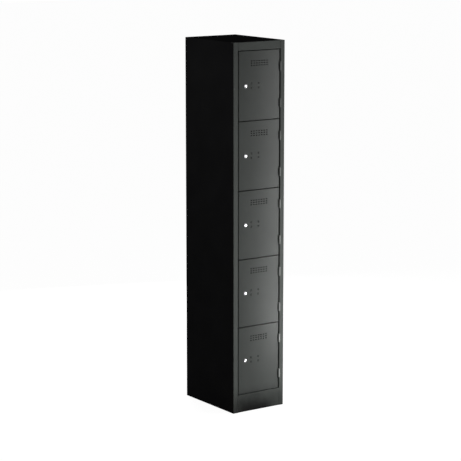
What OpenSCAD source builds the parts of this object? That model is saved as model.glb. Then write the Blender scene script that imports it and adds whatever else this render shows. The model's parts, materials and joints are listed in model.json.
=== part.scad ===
// Five-door steel locker: a folded sheet shell, a welded front frame, and butt-hinged doors,
// each with a cam lock.
// The origin is on the floor under the middle of the shell. +Z is up, the doors face -Y,
// and the hinges are on the +X side. Doors, shelves and locks count from the floor up.

/* [Cabinet] */
// Width over the side sheets
cabinet_w = 300; // [290:5:400]
// Depth from the front of the frame to the back
cabinet_d = 410; // [300:5:500]
// Height from the floor to the top
cabinet_h = 1800; // [1700:10:2000]
// Number of doors, one above the other
door_count = 5; // [2:1:5]
// Thickness of the shell's sheet
shell_t = 0.8; // [0.6:0.1:1]
// Depth of the rims of the shelves and of the base
tray_rim = 20; // [14:1:30]
// Width of the returns folded in at the back of the sides
rear_return_w = 2.8; // [2.8:0.2:3.4]
// Depth of the turned-down sides of the top
top_rim = 16; // [10:1:24]
// Inside radius of every fold
fold_r = 1.2; // [0.8:0.2:1.6]

/* [Front frame] */
// Thickness of the frame's sheet
frame_t = 1.2; // [1:0.1:1.5]
// Face width of the stile on the lock side
lock_stile_w = 27; // [22:1:34]
// Face width of the stile on the hinge side
hinge_stile_w = 26; // [22:1:34]
// Height of the rail over the top door
top_rail_h = 40; // [35:1:60]
// Height of the plinth
plinth_h = 88; // [70:1:120]
// Depth of the plinth's foot on the floor
plinth_foot = 16; // [12:1:24]
// Depth from the front of the frame to the back of its stop lips
stop_depth = 22; // [21:1:26]
// Reach of the stop lip past the lock-side stile
lock_lip_w = 15; // [14:1:18]
// Reach of the stop lip past the hinge-side stile
hinge_lip_w = 12; // [10:1:14]
// Reach of the stop lips of the rail and the plinth
rail_lip_w = 13; // [9:1:16]
// How far the outer folds of the frame run back inside the sides
frame_return = 20; // [14:1:20]

/* [Doors] */
// Thickness of the door sheet
door_t = 1; // [0.8:0.1:1.2]
// Depth of a door's edges
door_depth = 16; // [15:1:17]
// Width of the lip folded in behind a door's edges
door_lip_w = 10; // [8:1:12]
// Height of the gap above and below each door
seam = 3; // [2:0.5:4]
// Width of the gap on the lock side
lock_gap = 3.5; // [3:0.5:5]
// Width of the gap on the hinge side
hinge_gap = 6; // [5.5:0.5:7]
// Vent slots in a row
vent_columns = 7; // [3:1:7]
// Rows of vent slots
vent_rows = 3; // [1:1:4]
// Length of a vent slot
vent_slot_l = 7.5; // [6:0.5:12]
// Height of a vent slot
vent_slot_h = 4.5; // [3:0.5:6]
// Spacing of the vent slots along a row
vent_pitch_x = 15; // [13:1:16]
// Spacing of the rows of vent slots
vent_pitch_z = 10.5; // [8:0.5:12]
// From a door's top edge down to the middle of its vent
vent_drop = 59; // [45:1:70]
// Width between the two pairs of tabs that hold a name card
card_w = 42; // [30:0.5:50]
// Height between the tabs of a pair
card_h = 21; // [15:1:30]
// From a door's lock-side edge to the middle of the card
card_inset = 95; // [85:1:110]
// Length of a card tab
tab_l = 10; // [6:1:12]
// Height of a card tab
tab_h = 3; // [2:0.5:4]
// How far a card tab is pressed out of the door
tab_out = 0.9; // [0.8:0.1:1.2]
// Thickness of the pressed-out strip of a card tab
tab_t = 0.5; // [0.4:0.1:0.6]
// Length of the foot at each end of a card tab
tab_foot = 1; // [0.8:0.1:1.5]
// Height of the slits above and below a card tab, out of which its strip is pressed
tab_slit = 2; // [1.5:0.1:2.5]
// Width of the stiffening channel inside a door
channel_w = 30; // [20:1:36]
// Depth of the stiffening channel
channel_depth = 12; // [8:1:13]
// Width of the feet of the stiffening channel
channel_foot = 8; // [6:1:10]
// Gap between the vent and the stiffening channel
channel_gap = 3; // [1:1:8]

/* [Hinges] */
// Length of a hinge
hinge_l = 41; // [30:1:60]
// From a door's top edge down to the middle of its upper hinge
hinge_drop = 80; // [60:1:100]
// From a door's bottom edge up to the middle of its lower hinge
hinge_rise = 74; // [60:1:100]
// Outside diameter of the knuckles
knuckle_d = 7.6; // [6.6:0.2:8]
// Diameter of the hinge pins
pin_d = 3; // [2.4:0.2:3.4]
// Diameter of the heads of the hinge pins
pin_head_d = 5; // [4.6:0.2:6]
// Thickness of the heads of the hinge pins
pin_head_t = 1; // [0.6:0.2:1.6]
// Thickness of the hinge leaves
leaf_t = 1.2; // [1:0.1:1.4]
// Depth of the hinge leaves behind their knuckles
leaf_depth = 12; // [8:1:12]
// Gap between two knuckles
knuckle_gap = 0.4; // [0.3:0.1:0.8]

/* [Locks] */
// From a door's lock-side edge to the middle of its lock
lock_inset = 39; // [35:1:42]
// Diameter of the lock's bezel
bezel_d = 20; // [18:0.5:24]
// How far the bezel stands out of the door
bezel_t = 2.4; // [1.6:0.2:3.2]
// Diameter of the lock's barrel
barrel_d = 16; // [15:0.5:17]
// Diameter of the plug that the key turns
plug_d = 11; // [9:0.5:12]
// Depth of the keyway
keyway_depth = 14; // [8:1:16]
// Width of the keyway
keyway_w = 1.6; // [1.2:0.2:2]
// Height of the keyway
keyway_h = 7; // [5:0.5:8]
// Width across the flats of the lock nut
nut_af = 22; // [20:0.5:24]
// Thickness of the lock nut
nut_t = 5; // [3:0.5:6]
// From the lock's axis to the tip of the cam
cam_reach = 36; // [33:1:38]
// Width of the cam
cam_w = 14; // [12:1:16]
// Thickness of the cam
cam_t = 2; // [1.5:0.5:3]
// Width of the square tang that carries the cam
tang_w = 6.4; // [6:0.2:6.8]
// Diameter of the bolt that holds the cam
cam_bolt_d = 4; // [3:0.5:4]
// Length of the bolt's thread in the plug
cam_bolt_l = 8; // [4:1:8]
// Width across the flats of the bolt's head
cam_bolt_af = 7; // [5.5:0.5:8]
// Thickness of the bolt's head
cam_bolt_head_t = 2.8; // [2:0.2:4]
// Diameter of the washer under the bolt's head
washer_d = 11; // [10:0.5:12]
// Thickness of the washer
washer_t = 1; // [0.6:0.2:1.6]

/* [Buffers] */
// Diameter of the head of a rubber buffer
buffer_d = 8; // [6:0.5:9]
// Diameter of the stem of a buffer
buffer_stem_d = 4; // [3:0.5:4.5]
// Diameter of the button that holds a buffer behind the lip
buffer_button_d = 6.5; // [5.5:0.5:8]
// Thickness of that button
buffer_button_t = 1.6; // [1:0.2:3]
// Height of a buffer above or below the middle of its door
buffer_spread = 100; // [80:5:115]

/* [Wall fixing] */
// Diameter of the holes in the back
wall_hole_d = 7; // [5:0.5:10]
// Distance between the holes
wall_hole_spacing = 200; // [120:10:220]
// From the top of the cabinet down to the holes
wall_hole_drop = 120; // [80:5:160]

/* [Fits] */
// Clearance round a hinge pin and round a lock plug
running_gap = 0.05; // [0.03:0.01:0.08]
// Clearance of fixed pieces in their holes
hole_gap = 0.2; // [0.1:0.05:0.3]
// Gap where two sheets meet edge to edge
sheet_gap = 0.1; // [0.05:0.05:0.2]
// Gap between moving pieces that pass or meet
rest_gap = 0.3; // [0.3:0.1:0.6]
// Gap between the cam and the stop lip
cam_gap = 0.5; // [0.4:0.1:1]

/* [Hidden] */
$fn = 48;
// Overlap that makes cuts go right through
cut = 1;
front_y = -cabinet_d / 2;
back_y = cabinet_d / 2;
inner_x = cabinet_w / 2 - shell_t;
// Front face of the back sheet, which lies between the returns of the sides
back_front_y = back_y - shell_t;
// Where the folds at the back of the sides begin
rear_fold_y = back_front_y - fold_r;
under_top_z = cabinet_h - shell_t;
// Where the folds at the edge of the frame's front face end
fold_back_y = front_y + frame_t + fold_r;

// The opening in the frame, and the doors in it
opening_left = lock_stile_w - cabinet_w / 2;
opening_right = cabinet_w / 2 - hinge_stile_w;
door_left = opening_left + lock_gap;
door_right = opening_right - hinge_gap;
door_w = door_right - door_left;
door_zone = cabinet_h - plinth_h - top_rail_h;
door_h = (door_zone - (door_count + 1) * seam) / door_count;
door_pitch = door_h + seam;
rail_z = cabinet_h - top_rail_h;
stop_back_y = front_y + stop_depth;
stop_front_y = stop_back_y - frame_t;
door_back_y = front_y + door_depth;
door_in_y = front_y + door_t;

// The trays of the shelves and the base
tray_w = 2 * (inner_x - sheet_gap);
tray_front_y = stop_back_y + sheet_gap;
tray_d = rear_fold_y - tray_front_y;

// The vent and the stiffening channel beside it
vent_x = (door_left + door_right) / 2;
vent_half_w = ((vent_columns - 1) * vent_pitch_x + vent_slot_l) / 2;
channel_x = vent_x + vent_half_w + channel_gap + channel_foot + channel_w / 2;
channel_end = door_t + fold_r + sheet_gap;

// Hinge axis, in front of the gap between door and stile
knuckle_r = knuckle_d / 2;
FRAME_KNUCKLES = [0, 2, 4];
DOOR_KNUCKLES = [1, 3];
knuckle_count = len(FRAME_KNUCKLES) + len(DOOR_KNUCKLES);
knuckle_pitch = (hinge_l + knuckle_gap) / knuckle_count;
hinge_x = (door_right + opening_right) / 2;
hinge_y = front_y - knuckle_r - rest_gap;

// The lock's lengths, from front to back
lock_x = door_left + lock_inset;
plug_front_y = front_y - bezel_t + rest_gap;
cam_front_y = stop_back_y + cam_gap;
cam_back_y = cam_front_y + cam_t;
barrel_back_y = cam_front_y - rest_gap;
washer_back_y = cam_back_y + washer_t;

// Middle of the overlap of the stop lip and the door, where the buffers sit
buffer_x = (door_left + opening_left + lock_lip_w) / 2;

DOORS = [1:door_count];
DOOR_PARTS = [
    "door", "stiffener", "hinge_door_leaves",
    "lock_housing", "lock_nut", "lock_plug", "lock_cam", "cam_bolt"
];

BODY_COLOR = [0.07, 0.07, 0.075];
FRAME_COLOR = [0.24, 0.25, 0.25];
DOOR_COLOR = [0.29, 0.30, 0.30];
HINGE_COLOR = [0.45, 0.46, 0.45];
STEEL_COLOR = [0.62, 0.63, 0.65];
CHROME_COLOR = [0.92, 0.92, 0.93];
RUBBER_COLOR = [0.05, 0.05, 0.05];

// Height of the bottom edge of door k
function door_z(k) = plinth_h + seam + (k - 1) * door_pitch;

// Height of the middle of the gap under door k
function seam_z(k) = door_z(k) - seam / 2;

// Height of the middle of door k, where its lock is
function lock_z(k) = door_z(k) + door_h / 2;

// Heights of the middles of the two hinges of door k
function hinge_heights(k) = [door_z(k) + hinge_rise, door_z(k) + door_h - hinge_drop];

// Heights of the two buffers of door k
function buffer_heights(k) = [lock_z(k) - buffer_spread, lock_z(k) + buffer_spread];

function unit(v) = v / norm(v);

// Cross-section of a sheet folded along a line through the middle of its thickness
module folded(line, t) {
    bend = fold_r + t / 2;
    last = len(line) - 1;
    for (i = [0:last - 1]) {
        way = unit(line[i + 1] - line[i]);
        from = line[i] + way * (i > 0 ? bend : 0);
        to = line[i + 1] - way * (i + 1 < last ? bend : 0);
        low = [min(from.x, to.x), min(from.y, to.y)];
        high = [max(from.x, to.x), max(from.y, to.y)];
        side = [abs(way.y), abs(way.x)] * t / 2;
        translate(low - side) square(high - low + 2 * side);
    }
    for (i = [1:last - 1]) {
        came = unit(line[i] - line[i - 1]);
        leaves = unit(line[i + 1] - line[i]);
        corner = (came - leaves) * (bend + t / 2);
        translate(line[i] + (leaves - came) * bend) intersection() {
            difference() {
                circle(r = bend + t / 2);
                circle(r = fold_r);
            }
            translate([min(0, corner.x), min(0, corner.y)]) square(bend + t / 2);
        }
    }
}

// Lays a cross-section drawn in the YZ plane along X
module along_x(from, to) {
    translate([from, 0, 0]) rotate([90, 0, 90]) linear_extrude(to - from) children();
}

// Cylinder along Y
module pin_y(x, from, to, z, d) {
    translate([x, from, z]) rotate([-90, 0, 0]) cylinder(d = d, h = to - from);
}

// Rectangle with its two corners on the X axis rounded
module round_fronted(w, d, r) {
    translate([r, 0]) square([w - 2 * r, d]);
    translate([0, r]) square([w, d - r]);
    for (x = [r, w - r]) translate([x, r]) circle(r = r);
}

// Box with the four edges round its y = 0 face rounded
module round_fronted_box(size, r) {
    intersection() {
        linear_extrude(size.z) round_fronted(size.x, size.y, r);
        translate([size.x, 0, 0]) rotate([0, -90, 0])
            linear_extrude(size.x) round_fronted(size.z, size.y, r);
    }
}

// Shallow pan of sheet, open at the back, with folded edges
module pan(size, t) {
    difference() {
        round_fronted_box(size, fold_r + t);
        translate([t, t, t])
            round_fronted_box([size.x - 2 * t, size.y, size.z - 2 * t], fold_r);
    }
}

// --- Shell -------------------------------------------------------------------------------

// Left side sheet, with its back edge folded in behind the back
module side_sheet() {
    x = -cabinet_w / 2 + shell_t / 2;
    line = [
        [x, fold_back_y],
        [x, back_y - shell_t / 2],
        [rear_return_w - cabinet_w / 2, back_y - shell_t / 2]
    ];
    color(BODY_COLOR) linear_extrude(under_top_z - fold_r) folded(line, shell_t);
}

module side_left() {
    side_sheet();
}

module side_right() {
    mirror([1, 0, 0]) side_sheet();
}

// Back sheet, against the folded-in flanges of the sides and clear of their folds
module back_panel() {
    w = cabinet_w - 2 * (rear_return_w + sheet_gap);
    color(BODY_COLOR) difference() {
        translate([-w / 2, back_front_y, 0]) cube([w, shell_t, under_top_z]);
        for (side = [-1, 1])
            pin_y(side * wall_hole_spacing / 2, back_front_y - cut, back_y,
                cabinet_h - wall_hole_drop, wall_hole_d);
    }
}

// Top sheet, with its sides turned down inside the shell between the frame and the back
module top_panel() {
    x = inner_x - shell_t / 2;
    z = cabinet_h - shell_t / 2;
    rim_z = cabinet_h - top_rim;
    rim_front_y = front_y + frame_return + sheet_gap;
    color(BODY_COLOR) difference() {
        translate([0, back_y, 0]) rotate([90, 0, 0]) linear_extrude(back_y - fold_back_y)
            folded([[-x, rim_z], [-x, z], [x, z], [x, rim_z]], shell_t);
        for (notch = [[fold_back_y - cut, rim_front_y], [rear_fold_y, back_y + cut]])
            translate([-cabinet_w / 2, notch[0], rim_z - cut])
                cube([cabinet_w, notch[1] - notch[0], top_rim - shell_t + cut]);
    }
}

// Upside-down tray with its top face at height z
module tray(z) {
    color(BODY_COLOR) translate([-tray_w / 2, tray_front_y, z]) rotate([-90, 0, 0])
        pan([tray_w, tray_rim, tray_d], shell_t);
}

module base_panel() {
    tray(seam_z(1));
}

module shelf(k) {
    tray(seam_z(k + 1));
}

// --- Front frame -------------------------------------------------------------------------

// Stile on the left, with the given face width and reach of its stop lip
module stile(face_w, lip_w) {
    outer = -inner_x + frame_t / 2;
    face = front_y + frame_t / 2;
    jamb = face_w - cabinet_w / 2 - frame_t / 2;
    stop = stop_back_y - frame_t / 2;
    lip_end = face_w - cabinet_w / 2 + lip_w;
    line = [
        [outer, front_y + frame_return],
        [outer, face],
        [jamb, face],
        [jamb, stop],
        [lip_end, stop]
    ];
    color(FRAME_COLOR) linear_extrude(under_top_z) folded(line, frame_t);
}

module stile_left() {
    difference() {
        stile(lock_stile_w, lock_lip_w);
        for (k = DOORS, z = buffer_heights(k))
            pin_y(buffer_x, stop_front_y - cut, stop_back_y + cut, z,
                buffer_stem_d + 2 * hole_gap);
    }
}

module stile_right() {
    mirror([1, 0, 0]) stile(hinge_stile_w, hinge_lip_w);
}

// Crosspiece of the frame between the stiles, notched round their stop lips
module crosspiece(line) {
    lock_notch = [opening_left, opening_left + lock_lip_w + sheet_gap];
    hinge_notch = [opening_right - hinge_lip_w - sheet_gap, opening_right];
    color(FRAME_COLOR) difference() {
        along_x(opening_left + sheet_gap, opening_right - sheet_gap) folded(line, frame_t);
        for (notch = [lock_notch, hinge_notch])
            translate([notch[0], stop_front_y - fold_r, 0])
                cube([notch[1] - notch[0], frame_t + fold_r + cut, cabinet_h]);
    }
}

module top_rail() {
    top = under_top_z - frame_t / 2;
    face = front_y + frame_t / 2;
    bottom = rail_z + frame_t / 2;
    stop = stop_back_y - frame_t / 2;
    crosspiece([
        [front_y + frame_return, top],
        [face, top],
        [face, bottom],
        [stop, bottom],
        [stop, rail_z - rail_lip_w]
    ]);
}

module plinth() {
    top = plinth_h - frame_t / 2;
    face = front_y + frame_t / 2;
    stop = stop_back_y - frame_t / 2;
    crosspiece([
        [front_y + plinth_foot, frame_t / 2],
        [face, frame_t / 2],
        [face, top],
        [stop, top],
        [stop, plinth_h + rail_lip_w]
    ]);
}

module door_buffers() {
    color(RUBBER_COLOR) for (k = DOORS, z = buffer_heights(k)) {
        pin_y(buffer_x, door_back_y + rest_gap, stop_front_y, z, buffer_d);
        pin_y(buffer_x, stop_front_y, stop_back_y, z, buffer_stem_d);
        pin_y(buffer_x, stop_back_y, stop_back_y + buffer_button_t, z, buffer_button_d);
    }
}

// --- Hinges ------------------------------------------------------------------------------

// Hinge leaf with its plate's lower X face at x, its middle at height z, and some of the knuckles
module hinge_leaf(x, z, knuckles) {
    bottom = z - hinge_l / 2;
    color(HINGE_COLOR) difference() {
        union() {
            translate([x, fold_back_y, bottom]) cube([leaf_t, leaf_depth, hinge_l]);
            for (i = knuckles) translate([0, 0, bottom + i * knuckle_pitch]) {
                translate([x, hinge_y, 0])
                    cube([leaf_t, fold_back_y - hinge_y + cut, knuckle_pitch - knuckle_gap]);
                translate([hinge_x, hinge_y, 0])
                    cylinder(r = knuckle_r, h = knuckle_pitch - knuckle_gap);
            }
        }
        translate([hinge_x, hinge_y, bottom - cut])
            cylinder(d = pin_d + 2 * running_gap, h = hinge_l + 2 * cut);
    }
}

module hinge_frame_leaves() {
    for (k = DOORS, z = hinge_heights(k)) hinge_leaf(opening_right - leaf_t, z, FRAME_KNUCKLES);
}

module hinge_door_leaves(k) {
    for (z = hinge_heights(k)) hinge_leaf(door_right, z, DOOR_KNUCKLES);
}

// Hinge pins with a head at each end
module hinge_pins() {
    color(HINGE_COLOR) for (k = DOORS, z = hinge_heights(k))
        translate([hinge_x, hinge_y, z - hinge_l / 2]) {
            cylinder(d = pin_d, h = hinge_l);
            translate([0, 0, -pin_head_t]) cylinder(d = pin_head_d, h = pin_head_t);
            translate([0, 0, hinge_l]) cylinder(d = pin_head_d, h = pin_head_t);
        }
}

// --- Doors -------------------------------------------------------------------------------

// Lip folded in behind the edges of door k
module door_lip(k) {
    translate([door_left, door_back_y - door_t, door_z(k)]) difference() {
        cube([door_w, door_t, door_h]);
        translate([door_lip_w, -cut, door_lip_w])
            cube([door_w - 2 * door_lip_w, door_t + 2 * cut, door_h - 2 * door_lip_w]);
    }
}

// Vent slots of door k
module vent_slots(k) {
    middle = door_z(k) + door_h - vent_drop;
    for (column = [0:vent_columns - 1], row = [0:vent_rows - 1])
        translate([
            vent_x + (column - (vent_columns - 1) / 2) * vent_pitch_x - vent_slot_l / 2,
            front_y - cut,
            middle + (row - (vent_rows - 1) / 2) * vent_pitch_z - vent_slot_h / 2
        ])
            cube([vent_slot_l, door_t + 2 * cut, vent_slot_h]);
}

// Places something at the four card tabs of door k
module at_card_tabs(k) {
    for (x = [-card_w / 2, card_w / 2], z = [-card_h / 2, card_h / 2])
        translate([door_left + card_inset + x - tab_l / 2, front_y, lock_z(k) + z - tab_h / 2])
            children();
}

module door(k) {
    color(DOOR_COLOR) difference() {
        union() {
            translate([door_left, front_y, door_z(k)]) pan([door_w, door_depth, door_h], door_t);
            door_lip(k);
            at_card_tabs(k)
                translate([0, -tab_out, 0]) cube([tab_l, tab_out + door_t / 2, tab_h]);
        }
        vent_slots(k);
        at_card_tabs(k)
            translate([tab_foot, tab_t - tab_out, -tab_slit])
                cube([
                    tab_l - 2 * tab_foot,
                    tab_out - tab_t + door_t + cut,
                    tab_h + 2 * tab_slit
                ]);
        pin_y(lock_x, front_y - cut, door_in_y + cut, lock_z(k), barrel_d + 2 * hole_gap);
    }
}

// Channel welded inside door k, beside its vent
module stiffener(k) {
    foot = door_in_y + shell_t / 2;
    web = door_in_y + channel_depth - shell_t / 2;
    x = channel_w / 2;
    line = [
        [-x - channel_foot, foot],
        [-x, foot],
        [-x, web],
        [x, web],
        [x, foot],
        [x + channel_foot, foot]
    ];
    color(DOOR_COLOR) translate([channel_x, 0, door_z(k) + channel_end])
        linear_extrude(door_h - 2 * channel_end) folded(line, shell_t);
}

// --- Locks -------------------------------------------------------------------------------

module lock_housing(k) {
    color(CHROME_COLOR) difference() {
        union() {
            pin_y(lock_x, front_y - bezel_t, front_y, lock_z(k), bezel_d);
            pin_y(lock_x, front_y, barrel_back_y, lock_z(k), barrel_d);
        }
        pin_y(lock_x, front_y - bezel_t - cut, barrel_back_y + cut, lock_z(k),
            plug_d + 2 * running_gap);
    }
}

// Six-sided prism along Y with the given width across its flats
module hex_y(from, length, z, across) {
    translate([lock_x, from, z]) rotate([-90, 0, 0])
        cylinder(d = across / cos(30), h = length, $fn = 6);
}

module lock_nut(k) {
    color(STEEL_COLOR) difference() {
        hex_y(door_in_y, nut_t, lock_z(k), nut_af);
        pin_y(lock_x, door_in_y - cut, door_in_y + nut_t + cut, lock_z(k),
            barrel_d + 2 * hole_gap);
    }
}

// Square that fits the tang, of height and width w, from one depth to another
module tang(k, from, to, w) {
    translate([lock_x - w / 2, from, lock_z(k) - w / 2]) cube([w, to - from, w]);
}

module lock_plug(k) {
    color(CHROME_COLOR) difference() {
        union() {
            pin_y(lock_x, plug_front_y, cam_front_y, lock_z(k), plug_d);
            tang(k, cam_front_y, cam_back_y, tang_w);
        }
        translate([lock_x - keyway_w / 2, plug_front_y - cut, lock_z(k) - keyway_h / 2])
            cube([keyway_w, keyway_depth + cut, keyway_h]);
        pin_y(lock_x, cam_front_y - cam_bolt_l, cam_back_y + cut, lock_z(k),
            cam_bolt_d + 2 * running_gap);
    }
}

// Cam with the door free: it hangs down, and turns up behind the stop lip
module lock_cam(k) {
    color(STEEL_COLOR) difference() {
        translate([lock_x, cam_back_y, lock_z(k)]) rotate([90, 0, 0]) linear_extrude(cam_t) {
            circle(d = cam_w);
            translate([-cam_w / 2, cam_w / 2 - cam_reach]) square([cam_w, cam_reach - cam_w / 2]);
            translate([0, cam_w / 2 - cam_reach]) circle(d = cam_w);
        }
        tang(k, cam_front_y - cut, cam_back_y + cut, tang_w + 2 * hole_gap);
    }
}

module cam_bolt(k) {
    color(STEEL_COLOR) {
        pin_y(lock_x, cam_front_y - cam_bolt_l, cam_back_y, lock_z(k), cam_bolt_d);
        pin_y(lock_x, cam_back_y, washer_back_y, lock_z(k), washer_d);
        hex_y(washer_back_y, cam_bolt_head_t, lock_z(k), cam_bolt_af);
    }
}

side_left();
side_right();
back_panel();
top_panel();
base_panel();
for (k = [1:door_count - 1]) shelf(k);
stile_left();
stile_right();
top_rail();
plinth();
hinge_frame_leaves();
hinge_pins();
door_buffers();
for (k = DOORS) {
    door(k);
    stiffener(k);
    hinge_door_leaves(k);
    lock_housing(k);
    lock_nut(k);
    lock_plug(k);
    lock_cam(k);
    cam_bolt(k);
}
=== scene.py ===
# %% [markdown]
# # A five-door steel locker
# The locker is folded from thin sheet steel and powder coated. Its structure comes ready made from
# the CAD frame: every sheet, hinge and lock part is already in place. This lesson dresses it. It sets
# up a camera and a plain studio, gives each sheet soft folded edges, models the small turned and
# pressed parts that the CAD leaves plain, and builds a paint or metal finish for each of them.
# The first cell loads the frame and keeps its box.

# %% Load the frame
import json
import math
import bmesh
import bpy
from mathutils import Matrix, Vector


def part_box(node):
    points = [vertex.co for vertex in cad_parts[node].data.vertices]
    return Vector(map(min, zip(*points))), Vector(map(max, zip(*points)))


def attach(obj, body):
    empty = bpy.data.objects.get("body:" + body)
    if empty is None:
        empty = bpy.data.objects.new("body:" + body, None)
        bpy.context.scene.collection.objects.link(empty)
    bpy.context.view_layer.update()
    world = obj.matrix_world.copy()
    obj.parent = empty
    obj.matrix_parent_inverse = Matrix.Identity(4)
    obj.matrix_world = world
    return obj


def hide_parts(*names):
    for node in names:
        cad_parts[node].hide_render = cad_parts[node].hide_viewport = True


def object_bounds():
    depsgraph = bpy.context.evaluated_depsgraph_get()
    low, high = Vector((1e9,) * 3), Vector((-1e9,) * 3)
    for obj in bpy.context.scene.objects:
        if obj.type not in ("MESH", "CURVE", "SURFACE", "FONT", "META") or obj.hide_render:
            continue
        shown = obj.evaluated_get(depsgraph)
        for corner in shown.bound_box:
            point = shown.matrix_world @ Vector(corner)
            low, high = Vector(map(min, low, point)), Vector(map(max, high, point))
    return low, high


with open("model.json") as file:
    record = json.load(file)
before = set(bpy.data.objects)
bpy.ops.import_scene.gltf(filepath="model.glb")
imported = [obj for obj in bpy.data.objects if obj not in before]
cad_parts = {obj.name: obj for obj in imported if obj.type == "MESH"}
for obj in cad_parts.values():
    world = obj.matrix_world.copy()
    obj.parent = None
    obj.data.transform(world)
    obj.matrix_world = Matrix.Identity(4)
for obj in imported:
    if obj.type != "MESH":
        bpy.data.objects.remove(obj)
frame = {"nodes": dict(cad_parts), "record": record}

CAD_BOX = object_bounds()
NODES = frame["nodes"]
DOORS = [k for k in range(1, 10) if f"door_{k}" in NODES]
MM = 0.001
CLOSE = 0.01 * MM
print("nodes:", len(NODES), "doors:", len(DOORS), "height:", round(CAD_BOX[1].z, 3), "m")

# %% [markdown]
# ## The camera
# A locker is six times as tall as it is wide, so a long lens from far away keeps its sides almost
# parallel. The camera stands to the left of the front, a little above the top, and looks at a point
# near the middle of the locker. It has no shift, so the same lens also serves every other view.

# %% Camera
CAMERA_TURN = math.radians(34.83)
CAMERA_RISE = math.radians(10.54)
CAMERA_DISTANCE = 8.941
CAMERA_LENS = 142.4
AIM_OFFSET = Vector((-0.023, 0.006, -0.039))


def direction(turn, rise):
    """Unit vector towards the camera: turn goes to the left of the front, rise above the floor."""
    flat = math.cos(rise)
    return Vector((-math.sin(turn) * flat, -math.cos(turn) * flat, math.sin(rise)))


middle = (CAD_BOX[0] + CAD_BOX[1]) / 2
aim = middle + AIM_OFFSET
towards_camera = direction(CAMERA_TURN, CAMERA_RISE)
camera_data = bpy.data.cameras.new("camera")
camera_data.lens = CAMERA_LENS
camera = bpy.data.objects.new("camera", camera_data)
camera.location = aim + towards_camera * CAMERA_DISTANCE
camera.rotation_mode = "QUATERNION"
camera.rotation_quaternion = towards_camera.to_track_quat("Z", "Y")
bpy.context.scene.collection.objects.link(camera)
bpy.context.scene.camera = camera
print("camera at", [round(v, 2) for v in camera.location])

# %% [markdown]
# ## Helpers for materials
# Every finish here is a Principled shader fed by a few procedural nodes. The patterns read Object
# coordinates: the pieces all sit at the origin, so a pattern of one size runs over all of them at the
# same scale, in metres. A few helpers keep the node code short. Each adds a node or two and returns
# the socket to read, so that a finish can be written as one nested expression.

# %% Material helpers
def start_material(name):
    """New material with an empty node tree; returns it with its shader and output."""
    material = bpy.data.materials.new(name)
    material.use_nodes = True
    tree = material.node_tree
    tree.nodes.clear()
    shader = tree.nodes.new("ShaderNodeBsdfPrincipled")
    output = tree.nodes.new("ShaderNodeOutputMaterial")
    tree.links.new(shader.outputs["BSDF"], output.inputs["Surface"])
    return material, tree, shader


def add(tree, kind, **settings):
    """Adds a node; a setting is an attribute of the node, or else the name of an input."""
    node = tree.nodes.new(kind)
    for key, value in settings.items():
        if hasattr(node, key):
            setattr(node, key, value)
        else:
            node.inputs[key.replace("_", " ")].default_value = value
    return node


def noise(tree, scale, detail=2.0, roughness=0.5):
    """Noise texture in Object coordinates; scale is in repeats per metre."""
    place = add(tree, "ShaderNodeTexCoord")
    texture = add(tree, "ShaderNodeTexNoise", Scale=scale, Detail=detail, Roughness=roughness)
    tree.links.new(place.outputs["Object"], texture.inputs["Vector"])
    return texture.outputs["Fac"]


def axis(tree, letter):
    """One of the Object coordinates, in metres."""
    place = add(tree, "ShaderNodeTexCoord")
    axes = add(tree, "ShaderNodeSeparateXYZ")
    tree.links.new(place.outputs["Object"], axes.inputs["Vector"])
    return axes.outputs[letter]


def ranged(tree, value, low, high, at_low, at_high, course="LINEAR"):
    """Runs from at_low to at_high while the value runs from low to high, and is level beyond."""
    node = add(tree, "ShaderNodeMapRange", interpolation_type=course,
               From_Min=low, From_Max=high, To_Min=at_low, To_Max=at_high)
    tree.links.new(value, node.inputs["Value"])
    return node.outputs["Result"]


def spread(tree, factor, low, high):
    """Stretches the middle of a noise factor to the values low to high."""
    return ranged(tree, factor, 0.3, 0.7, low, high)


def combine(tree, operation, first, second):
    """Maths on two sockets, or on a socket and a number."""
    node = add(tree, "ShaderNodeMath", operation=operation)
    for value, socket in zip((first, second), node.inputs):
        if isinstance(value, float):
            socket.default_value = value
        else:
            tree.links.new(value, socket)
    return node.outputs["Value"]


def bump(tree, height, depth, strength=1.0, under=None):
    """Bump from a height factor; depth is the real height in metres."""
    node = add(tree, "ShaderNodeBump", Strength=strength, Distance=depth)
    tree.links.new(height, node.inputs["Height"])
    if under is not None:
        tree.links.new(under, node.inputs["Normal"])
    return node.outputs["Normal"]


def tint(tree, factor, dark, light):
    """Colour that runs from dark to light with a factor."""
    mix = add(tree, "ShaderNodeMix", data_type="RGBA")
    tree.links.new(factor, mix.inputs["Factor"])
    mix.inputs[6].default_value = (*dark, 1)
    mix.inputs[7].default_value = (*light, 1)
    return mix.outputs[2]


# %% [markdown]
# ## Powder coat
# Powder coat is plastic melted onto steel. It follows the sheet, so it shows the slight waves that
# rolling leaves in thin steel, and it has a fine skin like orange peel. Both are bumps: one broad and
# very shallow, one about a millimetre across. The colour drifts a little, and so does the gloss.
# The front frame and the doors are graphite with a satin gloss; the shell is a dull near-black, a
# body colour that also stands in for the shade on its unlit sides and top.

# %% Powder coat
COLOUR_PATCHES, GLOSS_PATCHES = 7, 160
WAVES, WAVE_DEPTH = 9, 0.4 * MM
SKIN_GRAINS, SKIN_DEPTH = 900, 0.03 * MM


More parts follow.
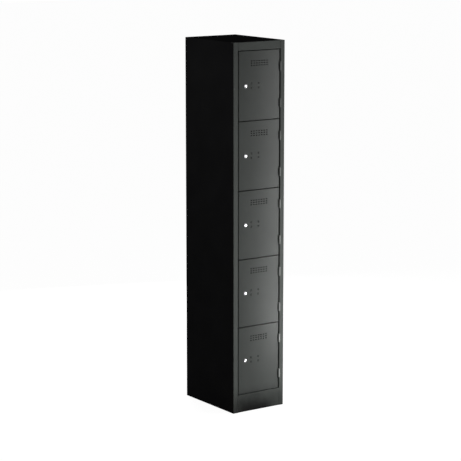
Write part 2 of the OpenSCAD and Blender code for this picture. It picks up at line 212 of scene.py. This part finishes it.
def powder_coat(name, dark, light, gloss_low, gloss_high, specular, form=None, painted_light=None):
    """Paint from dark to light; form adds the sheet's own shape, and the last argument paints shade or a
    highlight into its colour.
    """
    material, tree, shader = start_material(name)
    colour = tint(tree, spread(tree, noise(tree, COLOUR_PATCHES, 3), 0, 1), dark, light)
    if painted_light:
        colour = painted_light(tree, colour)
    tree.links.new(colour, shader.inputs["Base Color"])
    tree.links.new(spread(tree, noise(tree, GLOSS_PATCHES, 4), gloss_low, gloss_high),
                   shader.inputs["Roughness"])
    shader.inputs["Specular IOR Level"].default_value = specular
    waves = bump(tree, noise(tree, WAVES, 1), WAVE_DEPTH, 0.5, form(tree) if form else None)
    skin = bump(tree, noise(tree, SKIN_GRAINS, 2), SKIN_DEPTH, 0.5, waves)
    tree.links.new(skin, shader.inputs["Normal"])
    return material


# %% [markdown]
# ## What the press leaves, and painted shade and highlights
# A large door pressed from one thin sheet is never quite flat: it bulges by a few millimetres, and
# the satin paint turns that into a soft gradient from edge to edge. A parabola across the width, used
# as a bump, gives the same slow turn of the surface. The foot of the front gets painted shade: its
# colour darkens towards the floor along an uneven front, most of all just to the lock side of the
# middle. The hinge knuckles stand proud, and a pale painted highlight lies on them in small patches,
# mostly low down.

# %% The bulge of a door
CROWN_CURVATURE = 0.60


def crown(tree):
    """Normal of a sheet that bulges evenly across its width."""
    square = combine(tree, "MULTIPLY", axis(tree, "X"), axis(tree, "X"))
    return bump(tree, combine(tree, "MULTIPLY", square, -CROWN_CURVATURE / 2), 1.0)


# %% The painted shade at the foot
# Painted shade at the foot: the colour darkens to near-black towards the floor, strongest just to the lock
# side of the middle.
FOOT_SHADE = (0.002, 0.002, 0.002)
FOOT_SHADE_HEIGHT = 0.145
FOOT_SHADE_UNEVEN, FOOT_SHADE_PATCHES = 0.012, 14
DARKEST_AT, DARKEST_HALF_WIDTH = -0.025, 0.06
SIDEWAYS_REACH, SIDEWAYS_SHARE = 0.135, 0.56


def uneven_height(tree, uneven, patches):
    """Height above the floor, moved up and down by noise with so many patches to the metre."""
    return combine(tree, "ADD", axis(tree, "Z"), spread(tree, noise(tree, patches, 3), -uneven, uneven))


def mix_in_painted_light(tree, colour, under, share):
    """Mixes a share of the colour under into the paint: here painted shade or a painted highlight."""
    mix = add(tree, "ShaderNodeMix", data_type="RGBA")
    mix.inputs[7].default_value = (*under, 1)
    tree.links.new(share, mix.inputs["Factor"])
    tree.links.new(colour, mix.inputs[6])
    return mix.outputs[2]


def paint_foot_shade(tree, colour):
    """Painted shade: darkens the colour towards the floor, most of it just to the lock side of the middle.
    """
    height = uneven_height(tree, FOOT_SHADE_UNEVEN, FOOT_SHADE_PATCHES)
    low = ranged(tree, height, 0.0, FOOT_SHADE_HEIGHT, 1.0, 0.0, "SMOOTHSTEP")
    aside = combine(tree, "ABSOLUTE", combine(tree, "SUBTRACT", axis(tree, "X"), DARKEST_AT), 0.0)
    there = ranged(tree, aside, DARKEST_HALF_WIDTH, SIDEWAYS_REACH, 1.0, SIDEWAYS_SHARE)
    return mix_in_painted_light(tree, colour, FOOT_SHADE, combine(tree, "MULTIPLY", low, there))


# %% The painted highlight on the hinges
# A pale colour painted on the lower hinges as a highlight, in small patches.
HINGE_HIGHLIGHT = (0.330, 0.350, 0.335)
HIGHLIGHT_LOW, HIGHLIGHT_HIGH = 0.45, 1.60
HIGHLIGHT_UNEVEN, HIGHLIGHT_PATCHES = 0.22, 280


def paint_hinge_highlight(tree, colour):
    """Paints a pale highlight on the hinges, all of it low down and none at the top."""
    share = ranged(tree, uneven_height(tree, HIGHLIGHT_UNEVEN, HIGHLIGHT_PATCHES),
                   HIGHLIGHT_LOW, HIGHLIGHT_HIGH, 1.0, 0.0)
    return mix_in_painted_light(tree, colour, HINGE_HIGHLIGHT, share)


# %% The paints
GRAPHITE_DARK, GRAPHITE_LIGHT = (0.0672, 0.0733, 0.0686), (0.0774, 0.0843, 0.0789)
# The doors and the frame get the painted shade at the foot, and the hinges a painted highlight.
DOOR_PAINT = powder_coat("door_paint", (0.0497, 0.0542, 0.0507), (0.0583, 0.0636, 0.0595),
                         0.32, 0.38, 0.12, form=crown, painted_light=paint_foot_shade)
FRAME_PAINT = powder_coat("frame_paint", GRAPHITE_DARK, GRAPHITE_LIGHT, 0.42, 0.48, 0.06, painted_light=paint_foot_shade)
HINGE_PAINT = powder_coat("hinge_paint", GRAPHITE_DARK, GRAPHITE_LIGHT, 0.28, 0.36, 0.50, painted_light=paint_hinge_highlight)
# The near-black shell colour also stands in for the shade on the unlit sides and top.
SHELL_PAINT_AND_SHADE = powder_coat("shell_paint", (0.0106, 0.0106, 0.0110), (0.0128, 0.0128, 0.0133),
                          0.85, 0.95, 0.0)
print("paints:", DOOR_PAINT.name, FRAME_PAINT.name, HINGE_PAINT.name, SHELL_PAINT_AND_SHADE.name)

# %% [markdown]
# ## Metals and rubber
# The lock's plug is polished chrome, and its case has the duller plating of a die casting. Nuts, cams
# and bolts are zinc plated, with a fine cloudy grain. The walls inside the keyway are painted nearly
# black, as painted shade for the depth of the slot. The buffers are plain black rubber.

# %% Metals
PLATING_GRAINS, PLATING_DEPTH = 2500, 0.01 * MM


def plated(name, dark, light, rough_low, rough_high, grain):
    """Bare metal with a cloudy grain, in so many clouds to the metre."""
    material, tree, shader = start_material(name)
    cloud = spread(tree, noise(tree, grain, 4, 0.6), 0, 1)
    tree.links.new(tint(tree, cloud, dark, light), shader.inputs["Base Color"])
    tree.links.new(spread(tree, noise(tree, grain * 2, 3), rough_low, rough_high),
                   shader.inputs["Roughness"])
    shader.inputs["Metallic"].default_value = 1.0
    tree.links.new(bump(tree, noise(tree, PLATING_GRAINS, 2), PLATING_DEPTH, 0.4), shader.inputs["Normal"])
    return material


CHROME = plated("lock_chrome", (0.66, 0.66, 0.67), (0.75, 0.75, 0.76), 0.10, 0.16, 120)
CASE_CHROME = plated("case_chrome", (0.15, 0.15, 0.155), (0.20, 0.20, 0.205), 0.30, 0.38, 120)
ZINC = plated("plated_steel", (0.50, 0.51, 0.53), (0.68, 0.68, 0.69), 0.30, 0.42, 300)
# Painted shade for the keyway walls: near-black metal.
KEYWAY_PAINTED_SHADE = plated("keyway_painted_shade", (0.020, 0.019, 0.017), (0.035, 0.033, 0.030), 0.45, 0.6, 900)


RUBBER_CLOUDS = 400
RUBBER_GRAINS, RUBBER_DEPTH = 1800, 0.03 * MM


def rubber():
    material, tree, shader = start_material("buffer_rubber")
    tree.links.new(tint(tree, noise(tree, RUBBER_CLOUDS, 3), (0.008, 0.008, 0.008), (0.016, 0.016, 0.016)),
                   shader.inputs["Base Color"])
    shader.inputs["Roughness"].default_value = 0.75
    tree.links.new(bump(tree, noise(tree, RUBBER_GRAINS, 2), RUBBER_DEPTH), shader.inputs["Normal"])
    return material


RUBBER = rubber()
print("metals:", CHROME.name, ZINC.name, "and", RUBBER.name)

# %% [markdown]
# ## Finishes on the CAD sheets
# The record says which node takes which slot, and each slot has its finish.

# %% Give the CAD nodes their finishes
FINISHES = {
    "shell_paint": SHELL_PAINT_AND_SHADE,
    "frame_paint": FRAME_PAINT,
    "door_paint": DOOR_PAINT,
    "hinge_paint": HINGE_PAINT,
    "lock_chrome": CHROME,
    "plated_steel": ZINC,
    "buffer_rubber": RUBBER,
}
for part in frame["record"]["subparts"]:
    mesh = NODES[part["node"]].data
    mesh.materials.clear()
    mesh.materials.append(FINISHES[part["material_slot"]])

# %% [markdown]
# ## Soft edges on the sheets
# Sheared and folded steel has no knife edges: the shears leave a small burr that is rubbed off, and
# the powder coat rounds it further. The CAD sheets have true fold radii but sharp cut edges, so each
# gets a fine bevel. The CAD mesh comes as loose triangles, so Weld joins them first, and a flat
# Decimate clears the seams inside flat faces, which would stop the bevel short. The hinges are left
# out of that, because the flat strips of their round knuckles are seams that have to stay.

# %% Bevel the sheets
REPLACED = ("lock_housing", "lock_plug", "lock_nut", "cam_bolt", "hinge_pins", "door_buffers")
EDGE_R = 0.25 * MM
FLAT_WITHIN = math.radians(0.5)
EDGE_FROM = math.radians(40)


def soften(node, width, flatten):
    weld = node.modifiers.new("weld", "WELD")
    weld.merge_threshold = CLOSE
    if flatten:
        flat = node.modifiers.new("flatten", "DECIMATE")
        flat.decimate_type = "DISSOLVE"
        flat.angle_limit = FLAT_WITHIN
    edge = node.modifiers.new("edges", "BEVEL")
    edge.width = width
    edge.segments = 2
    edge.limit_method = "ANGLE"
    edge.angle_limit = EDGE_FROM
    edge.harden_normals = flatten


for name, node in NODES.items():
    if not name.startswith(REPLACED):
        soften(node, EDGE_R, flatten=not name.startswith("hinge_"))

# %% [markdown]
# ## Modelling helpers
# The small parts are modelled as by hand: a primitive, then edit mode, then applied modifiers. An
# operator works on everything that is selected, so each step first clears the selection and then
# picks faces by where they lie and which way they face. The first helpers do just that.

# %% Selecting
def only(piece):
    """Object mode, with this one object selected and active."""
    if bpy.context.object and bpy.context.object.mode != "OBJECT":
        bpy.ops.object.mode_set(mode="OBJECT")
    bpy.ops.object.select_all(action="DESELECT")
    piece.select_set(True)
    bpy.context.view_layer.objects.active = piece


def pick(wanted, what="FACE"):
    """In edit mode, selects the faces or edges for which wanted(element) is true; returns how many."""
    bpy.ops.mesh.select_mode(type=what)
    bpy.ops.mesh.select_all(action="DESELECT")
    work = bmesh.from_edit_mesh(bpy.context.object.data)
    work.normal_update()
    elements = work.faces if what == "FACE" else work.edges
    count = 0
    for element in elements:
        if wanted(element):
            element.select_set(True)
            count += 1
    work.select_flush_mode()
    bmesh.update_edit_mesh(bpy.context.object.data)
    return count


def faces_towards(way, place=None):
    """Test for faces that look along way, and whose centre lies at place along it if that is given."""
    def test(face):
        centre = face.calc_center_median()
        return face.normal.dot(way) > 0.99 and (place is None or abs(centre.dot(way) - place) < CLOSE)
    return test


# %% Shaping
def extrude(vector):
    bpy.ops.mesh.extrude_region_move(TRANSFORM_OT_translate={"value": tuple(vector)})


def grow(factor, centre, axes=(1, 0, 1)):
    """Scales the selection about centre, only along the axes marked 1."""
    scale = [factor if axis else 1 for axis in axes]
    bpy.ops.transform.resize(value=scale, center_override=tuple(centre))


def apply_all(piece):
    only(piece)
    for modifier in list(piece.modifiers):
        bpy.ops.object.modifier_apply(modifier=modifier.name)


def cut_with(piece, cutter, operation="DIFFERENCE"):
    """Cuts the piece with another closed mesh, which is then removed."""
    boolean = piece.modifiers.new("cut", "BOOLEAN")
    boolean.operation = operation
    boolean.solver = "EXACT"
    boolean.object = cutter
    apply_all(piece)
    bpy.data.objects.remove(cutter, do_unlink=True)


def round_edges(piece, width, segments=2, angle=35):
    """Rounds all edges sharper than angle, and shades the rest smooth."""
    bevel = piece.modifiers.new("round", "BEVEL")
    bevel.width = width
    bevel.segments = segments
    bevel.limit_method = "ANGLE"
    bevel.angle_limit = math.radians(angle)
    apply_all(piece)
    bpy.ops.object.shade_smooth_by_angle(angle=math.radians(angle))


def rod(name, radius, front, back, sides=48):
    """Cylinder round the Y axis from front to back: the start of every turned part here."""
    bpy.ops.object.select_all(action="DESELECT")
    bpy.ops.mesh.primitive_cylinder_add(vertices=sides, radius=radius, depth=back - front,
                                        location=(0, (front + back) / 2, 0),
                                        rotation=(math.pi / 2, 0, 0))
    piece = bpy.context.object
    piece.name = name
    bpy.ops.object.transform_apply(location=True, rotation=True, scale=True)
    return piece


def placed_copy(master, name, offset):
    """Copy with its own mesh, moved by offset inside that mesh."""
    mesh = master.data.copy()
    mesh.transform(Matrix.Translation(offset))
    piece = bpy.data.objects.new(name, mesh)
    bpy.context.scene.collection.objects.link(piece)
    return piece


def install(piece, body, node, finish):
    """Hangs a piece on its body in place of a CAD node, with that slot's finish."""
    piece.data.materials.clear()
    piece.data.materials.append(finish)
    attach(piece, body)
    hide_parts(node)


# %% [markdown]
# ## Where the locks are
# Each lock part is modelled once, round the Y axis at the origin, with Y measured from the front of
# the doors. Its copies are then moved to the middle of each CAD housing, which says where it belongs.

# %% Lock places
BEZEL_BOX = {k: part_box(f"lock_housing_{k}") for k in DOORS}
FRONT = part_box("stile_left")[0].y
LOCK_AT = {k: Vector(((low.x + high.x) / 2, FRONT, (low.z + high.z) / 2))
           for k, (low, high) in BEZEL_BOX.items()}
BEZEL_FRONT = BEZEL_BOX[1][0].y - FRONT
BARREL_BACK = BEZEL_BOX[1][1].y - FRONT
BEZEL_R = (BEZEL_BOX[1][1].x - BEZEL_BOX[1][0].x) / 2
DOOR_SHEET = 1 * MM
print("locks at heights", [round(place.z, 3) for place in LOCK_AT.values()])

# %% [markdown]
# ## The lock case
# A cam lock has a die-cast case: a domed ring that rests on the door, and a threaded barrel that goes
# through it. The case starts as a short rod as wide as the ring. Its front edge gets a wide round
# bevel, its front face is sunk a little round the plug, and its back face is inset and extruded to
# the barrel. The thread is a stack of small ridges: from outside the door it looks like a real one,
# and it costs far fewer faces than a helix.

# %% Lock case
BARREL_R = 8 * MM
THREAD_DEPTH = 0.55 * MM
THREAD_PITCH = 1.2 * MM
BORE_R = 5.56 * MM
SUNK_R = 6.6 * MM
SUNK = 0.5 * MM
BEZEL_ROUND = 1.5 * MM
BARREL_CHAMFER = 0.4 * MM
AHEAD, BEHIND = Vector((0, -1, 0)), Vector((0, 1, 0))

case = rod("lock_case", BEZEL_R, BEZEL_FRONT, 0)
only(case)
bpy.ops.object.mode_set(mode="EDIT")
pick(lambda edge: all(abs(v.co.y - BEZEL_FRONT) < CLOSE for v in edge.verts), "EDGE")
bpy.ops.mesh.bevel(offset=BEZEL_ROUND, segments=6, profile=0.5)
pick(faces_towards(AHEAD, -BEZEL_FRONT))
bpy.ops.mesh.inset(thickness=BEZEL_R - BEZEL_ROUND - SUNK_R)
extrude((0, SUNK, 0))
pick(faces_towards(BEHIND, 0))
bpy.ops.mesh.inset(thickness=BEZEL_R - BARREL_R)
extrude((0, DOOR_SHEET, 0))
depth = DOOR_SHEET
ridges = int((BARREL_BACK - depth - THREAD_PITCH) / THREAD_PITCH)
for _ in range(ridges):
    for radius, before in ((BARREL_R - THREAD_DEPTH, BARREL_R), (BARREL_R, BARREL_R - THREAD_DEPTH)):
        depth += THREAD_PITCH / 2
        extrude((0, THREAD_PITCH / 2, 0))
        grow(radius / before, (0, depth, 0))
extrude((0, BARREL_BACK - depth - BARREL_CHAMFER, 0))
extrude((0, BARREL_CHAMFER, 0))
grow((BARREL_R - BARREL_CHAMFER) / BARREL_R, (0, BARREL_BACK, 0))
bpy.ops.object.mode_set(mode="OBJECT")
cut_with(case, rod("bore", BORE_R, BEZEL_FRONT - 1 * MM, BARREL_BACK + 1 * MM))
round_edges(case, 0.12 * MM, 2, 50)
for k in DOORS:
    install(placed_copy(case, f"lock_case_{k}", LOCK_AT[k]), f"door_leaf_{k}",
            f"lock_housing_{k}", CASE_CHROME)
print("lock case:", len(case.data.polygons), "faces,", ridges, "ridges")
bpy.data.objects.remove(case, do_unlink=True)

# %% [markdown]
# ## The plug and its keyway
# The key turns the plug. Its face lies just below the ring, and the keyway in it isn't a plain slot:
# ribs in its sides, called wards, keep wrong keys out. The plug is a rod with a square tang added at
# the back for the cam. The slot, the two wards and the hole for the cam's bolt are cut with booleans,
# because each is a simple solid in a place that is known exactly.

# %% Plug
PLUG_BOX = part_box("lock_plug_1")
CAM_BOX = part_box("lock_cam_1")
PLUG_R = 5.5 * MM
PLUG_FRONT = PLUG_BOX[0].y - FRONT
CAM_FRONT = CAM_BOX[0].y - FRONT
CAM_BACK = CAM_BOX[1].y - FRONT
TANG = 6.4 * MM
KEYWAY_DEPTH = 14 * MM
NEAR_KEYWAY_X, NEAR_KEYWAY_Z = 1.6 * MM, 3.6 * MM
BOLT_R = 2 * MM
BOLT_LENGTH = 8 * MM


def block(name, low, high):
    """Cube stretched from its low to its high corner: a cutter, or the start of a square part."""
    low, high = Vector(low), Vector(high)
    bpy.ops.object.select_all(action="DESELECT")
    bpy.ops.mesh.primitive_cube_add(size=1, location=(low + high) / 2, scale=high - low)
    piece = bpy.context.object
    piece.name = name
    bpy.ops.object.transform_apply(location=True, rotation=True, scale=True)
    return piece


plug = rod("lock_plug", PLUG_R, PLUG_FRONT, CAM_FRONT)
cut_with(plug, block("tang", (-TANG / 2, CAM_FRONT - 0.5 * MM, -TANG / 2),
                     (TANG / 2, CAM_BACK, TANG / 2)), "UNION")
KEYWAY = [
    ((-0.8 * MM, -3.5 * MM), (0.8 * MM, 3.5 * MM)),
    ((0.5 * MM, 0.6 * MM), (1.5 * MM, 1.7 * MM)),
    ((-1.5 * MM, -1.6 * MM), (-0.5 * MM, -0.5 * MM)),
]
for (x_low, z_low), (x_high, z_high) in KEYWAY:
    cut_with(plug, block("slot", (x_low, PLUG_FRONT - 1 * MM, z_low),
                         (x_high, PLUG_FRONT + KEYWAY_DEPTH, z_high)))
cut_with(plug, rod("bolt_hole", BOLT_R + 0.05 * MM, CAM_FRONT - BOLT_LENGTH, CAM_BACK + 1 * MM, 32))
round_edges(plug, 0.2 * MM, 2, 50)
# The faces inside the keyway take the second slot, the painted shade.
in_keyway = 0
for face in plug.data.polygons:
    x, y, z = face.center
    behind_face = PLUG_FRONT + 0.3 * MM < y < CAM_FRONT - BOLT_LENGTH
    if behind_face and abs(x) < NEAR_KEYWAY_X and abs(z) < NEAR_KEYWAY_Z:
        face.material_index = 1
        in_keyway += 1
for k in DOORS:
    turned_plug = placed_copy(plug, f"lock_plug_turned_{k}", LOCK_AT[k])
    install(turned_plug, f"lock_core_{k}", f"lock_plug_{k}", CHROME)
    turned_plug.data.materials.append(KEYWAY_PAINTED_SHADE)
print("plug:", len(plug.data.polygons), "faces,", in_keyway, "in the keyway")
bpy.data.objects.remove(plug, do_unlink=True)

# %% [markdown]
# ## Nut and bolt
# A six-sided nut draws the case tight against the inside of the door, and a small bolt with a washer
# holds the cam. Real hexagons have corners turned off to a cone, so that they don't cut a hand. Here
# the hexagon is intersected with a rod whose ends taper, which is just what the lathe does.

# %% Hexagon with turned corners
def hexagon(name, across, front, back, taper_front=True):
    """Six-sided block round the Y axis, its corners on the X axis, with turned ends."""
    corner = across / 2 / math.cos(math.pi / 6)
    turn_off = (corner - across / 2) * math.tan(math.pi / 6)
    hexagonal = rod(name, corner, front, back, 6)
    if max(v.co.x for v in hexagonal.data.vertices) < corner - CLOSE:
        hexagonal.data.transform(Matrix.Rotation(math.pi / 6, 4, "Y"))
    cone = rod("turning", corner * 1.01, front + (turn_off if taper_front else 0), back - turn_off, 64)
    only(cone)
    bpy.ops.object.mode_set(mode="EDIT")
    if taper_front:
        pick(faces_towards(AHEAD, -front - turn_off))
        extrude((0, -turn_off, 0))
        grow(across / 2 / corner, (0, front, 0))
    pick(faces_towards(BEHIND, back - turn_off))
    extrude((0, turn_off, 0))
    grow(across / 2 / corner, (0, back, 0))
    bpy.ops.object.mode_set(mode="OBJECT")
    cut_with(hexagonal, cone, "INTERSECT")
    return hexagonal


# %% Lock nut
NUT_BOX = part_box("lock_nut_1")
NUT_ACROSS = NUT_BOX[1].z - NUT_BOX[0].z
NUT_FRONT, NUT_BACK = NUT_BOX[0].y - FRONT, NUT_BOX[1].y - FRONT
nut = hexagon("lock_nut", NUT_ACROSS, NUT_FRONT, NUT_BACK)
cut_with(nut, rod("nut_hole", BARREL_R + 0.15 * MM, NUT_FRONT - 1 * MM, NUT_BACK + 1 * MM))
round_edges(nut, 0.3 * MM, 2, 40)
for k in DOORS:
    install(placed_copy(nut, f"lock_nut_turned_{k}", LOCK_AT[k]), f"door_leaf_{k}",
            f"lock_nut_{k}", ZINC)
print("nut:", len(nut.data.polygons), "faces")
bpy.data.objects.remove(nut, do_unlink=True)

# %% Cam bolt
BOLT_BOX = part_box("cam_bolt_1")
BOLT_BACK = BOLT_BOX[1].y - FRONT
HEAD_THICK = 2.8 * MM
HEAD_ACROSS = 7 * MM
WASHER_R = (BOLT_BOX[1].x - BOLT_BOX[0].x) / 2
head = hexagon("cam_bolt", HEAD_ACROSS, BOLT_BACK - HEAD_THICK, BOLT_BACK, taper_front=False)
round_edges(head, 0.12 * MM)
washer = rod("washer", WASHER_R, CAM_BACK, BOLT_BACK - HEAD_THICK)
round_edges(washer, 0.2 * MM)
shank = rod("shank", BOLT_R, CAM_FRONT - BOLT_LENGTH + 0.2 * MM, CAM_BACK)
only(head)
for part in (washer, shank):
    part.select_set(True)
bpy.ops.object.join()
for k in DOORS:
    install(placed_copy(head, f"cam_bolt_turned_{k}", LOCK_AT[k]), f"lock_core_{k}",
            f"cam_bolt_{k}", ZINC)
print("bolt:", len(head.data.polygons), "faces")
bpy.data.objects.remove(head, do_unlink=True)

# %% [markdown]
# ## Hinge pins
# A pin is riveted over at both ends, so its heads are domed, and it is painted with the hinge. One
# pin is shaped from a rod along its own length: each end face is widened, and then drawn in again in
# small steps.

# %% Hinge pins
PIN_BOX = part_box("hinge_pins")
LEAF_BOX = {k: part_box(f"hinge_door_leaves_{k}") for k in DOORS}
PIN_R = 1.5 * MM
PIN_HEAD_R = (PIN_BOX[1].x - PIN_BOX[0].x) / 2
HINGE_LENGTH = 41 * MM
DOME = [(0.45 * MM, 1.0), (0.3 * MM, 0.86), (0.25 * MM, 0.5)]
PIN_X, PIN_Y = (PIN_BOX[0].x + PIN_BOX[1].x) / 2, (PIN_BOX[0].y + PIN_BOX[1].y) / 2

pin = rod("hinge_pin", PIN_R, -HINGE_LENGTH / 2, HINGE_LENGTH / 2, 32)
only(pin)
bpy.ops.object.mode_set(mode="EDIT")
for way in (AHEAD, BEHIND):
    end = HINGE_LENGTH / 2
    pick(faces_towards(way, end))
    extrude(way * 0)
    grow(PIN_HEAD_R / PIN_R, way * end)
    radius = PIN_HEAD_R
    for step, share in DOME:
        end += step
        extrude(way * step)
        grow(PIN_HEAD_R * share / radius, way * end)
        radius = PIN_HEAD_R * share
bpy.ops.object.mode_set(mode="OBJECT")
only(pin)
bpy.ops.object.shade_smooth_by_angle(angle=math.radians(40))
pin.data.transform(Matrix.Rotation(math.pi / 2, 4, "X"))
for k in DOORS:
    for which, z in (("low", LEAF_BOX[k][0].z + HINGE_LENGTH / 2),
                     ("high", LEAF_BOX[k][1].z - HINGE_LENGTH / 2)):
        install(placed_copy(pin, f"hinge_pin_{which}_{k}", (PIN_X, PIN_Y, z)), "cabinet",
                "hinge_pins", HINGE_PAINT)
print("pin:", len(pin.data.polygons), "faces")
bpy.data.objects.remove(pin, do_unlink=True)

# %% [markdown]
# ## Rubber buffers
# Two rubber buttons behind each door stop it from ringing against the frame. A buffer is pulled
# through a hole in the stop lip: soft dome in front, thin neck in the sheet, and a barb behind.
# It is one rod again, with its ends drawn out, and its front edge rounded over widely.

# %% Buffers
BUFFER_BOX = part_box("door_buffers")
STILE_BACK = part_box("stile_left")[1].y
LIP_SHEET = 1.2 * MM
BUFFER_SPREAD = 100 * MM
BUFFER_R = (BUFFER_BOX[1].x - BUFFER_BOX[0].x) / 2
NECK_R, BARB_R = 2 * MM, 3.25 * MM
DOME_ROUND = 2.2 * MM
BARB_EDGE, BARB_TIP_SHARE = 0.4 * MM, 0.55
BUFFER_X = (BUFFER_BOX[0].x + BUFFER_BOX[1].x) / 2

buffer = rod("buffer", BUFFER_R, BUFFER_BOX[0].y, STILE_BACK - LIP_SHEET, 32)
only(buffer)
bpy.ops.object.mode_set(mode="EDIT")
pick(lambda edge: all(abs(v.co.y - BUFFER_BOX[0].y) < CLOSE for v in edge.verts), "EDGE")
bpy.ops.mesh.bevel(offset=DOME_ROUND, segments=6, profile=0.5)
pick(faces_towards(BEHIND))
bpy.ops.mesh.inset(thickness=BUFFER_R - NECK_R)
extrude((0, LIP_SHEET, 0))
extrude((0, 0, 0))
grow(BARB_R / NECK_R, (0, STILE_BACK, 0))
extrude((0, BARB_EDGE, 0))
barb_back = BUFFER_BOX[1].y
extrude((0, barb_back - STILE_BACK - BARB_EDGE, 0))
grow(BARB_TIP_SHARE, (0, barb_back, 0))
bpy.ops.object.mode_set(mode="OBJECT")
only(buffer)
bpy.ops.object.shade_smooth_by_angle(angle=math.radians(50))
for k in DOORS:
    for which, rise in (("low", -BUFFER_SPREAD), ("high", BUFFER_SPREAD)):
        install(placed_copy(buffer, f"buffer_{which}_{k}", (BUFFER_X, 0, LOCK_AT[k].z + rise)),
                "cabinet", "door_buffers", RUBBER)
print("buffer:", len(buffer.data.polygons), "faces")
bpy.data.objects.remove(buffer, do_unlink=True)

# %% [markdown]
# ## The studio
# Where the camera or a reflection sees them, the floor and the surroundings are white, and elsewhere
# they are dimmer: dark paint needs surroundings that it can mirror, but it would look washed out if as
# much light also fell on it from all sides. The seen floor gets its white from a glow and keeps only
# a little colour of its own. It still takes the locker's shadow, and it doesn't grow brighter than
# white, which would eat into the dark outline.

# %% Floor and world
FLOOR_SIZE = 60.0
FLOOR_COLOUR = 0.45
FLOOR_SEEN = 0.15
SKY_LIGHT = 0.20
WHITE_LIFT = 0.95


def seen_directly(tree):
    """1 where the camera, a reflection or a see-through ray arrives, otherwise 0."""
    rays = add(tree, "ShaderNodeLightPath")
    total = rays.outputs["Is Camera Ray"]
    for kind in ("Is Glossy Ray", "Is Transmission Ray"):
        total = combine(tree, "MAXIMUM", total, rays.outputs[kind])
    return total


bpy.ops.object.select_all(action="DESELECT")
bpy.ops.mesh.primitive_plane_add(size=FLOOR_SIZE, location=(0, 0, CAD_BOX[0].z))
floor = bpy.context.object
floor.name = "studio_floor"
floor_paint, floor_tree, floor_shader = start_material("floor_white")
own_colour = ranged(floor_tree, seen_directly(floor_tree), 0.0, 1.0, FLOOR_COLOUR, FLOOR_SEEN)
floor_tree.links.new(own_colour, floor_shader.inputs["Base Color"])
floor_shader.inputs["Roughness"].default_value = 0.9
floor_shader.inputs["Specular IOR Level"].default_value = 0.0
floor_shader.inputs["Emission Color"].default_value = (1, 1, 1, 1)
glow = ranged(floor_tree, seen_directly(floor_tree), 0.0, 1.0, 0.0, WHITE_LIFT)
floor_tree.links.new(glow, floor_shader.inputs["Emission Strength"])
floor.data.materials.append(floor_paint)

world = bpy.data.worlds.new("studio")
bpy.context.scene.world = world
world.use_nodes = True
sky = world.node_tree
sky.nodes.clear()
background = add(sky, "ShaderNodeBackground", Color=(1, 1, 1, 1))
sky_output = add(sky, "ShaderNodeOutputWorld")
level = ranged(sky, seen_directly(sky), 0.0, 1.0, SKY_LIGHT, 1.0)
sky.links.new(level, background.inputs["Strength"])
sky.links.new(background.outputs["Background"], sky_output.inputs["Surface"])


# %% [markdown]
# ## The lamps
# Area lamps throw soft light, and satin paint spreads their reflection further. A large key lamp far
# to the right lights the whole front evenly. Three small lamps in a column stand near the hinge side,
# strongest at the bottom, and make the doors grow lighter towards the hinges and the floor. A weak
# lamp high up fills the top. One lamp on the left keeps the dark side apart from the top, and one
# behind does the same for the back in other views.

# %% Lamps
def softbox(name, place, look_at, width, height, watts):
    """Rectangular area lamp at place that faces look_at."""
    lamp = bpy.data.lights.new(name, "AREA")
    lamp.shape = "RECTANGLE"
    lamp.size = width
    lamp.size_y = height
    lamp.energy = watts
    stand = bpy.data.objects.new(name, lamp)
    stand.location = place
    stand.rotation_mode = "QUATERNION"
    stand.rotation_quaternion = (Vector(place) - Vector(look_at)).to_track_quat("Z", "Y")
    bpy.context.scene.collection.objects.link(stand)


NEAR_COLUMN = ((0.10, 7.7), (0.45, 3.84), (0.80, 1.92))
for height, watts in NEAR_COLUMN:
    softbox("near_lamp", place=(0.90, -0.95, height), look_at=(0.1, -0.2, height),
            width=0.35, height=0.35, watts=watts)
softbox("high_lamp", place=(1.25, -1.35, 1.5), look_at=(0.1, -0.2, 1.5),
        width=0.45, height=0.45, watts=2.6)
softbox("key_lamp", place=(2.4, -2.2, 0.8), look_at=(0.0, -0.2, 0.8),
        width=0.8, height=1.0, watts=34.8)
softbox("side_lamp", place=(-1.65, 0.0, 1.95), look_at=(-0.15, 0.0, 1.6),
        width=0.4, height=0.4, watts=6.0)
softbox("back_lamp", place=(0.9, 2.6, 1.1), look_at=(0.0, 0.2, 0.9),
        width=0.8, height=1.0, watts=60.0)
print("lamps:", len(bpy.data.lights))
bpy.context.scene.view_settings.view_transform = "Standard"
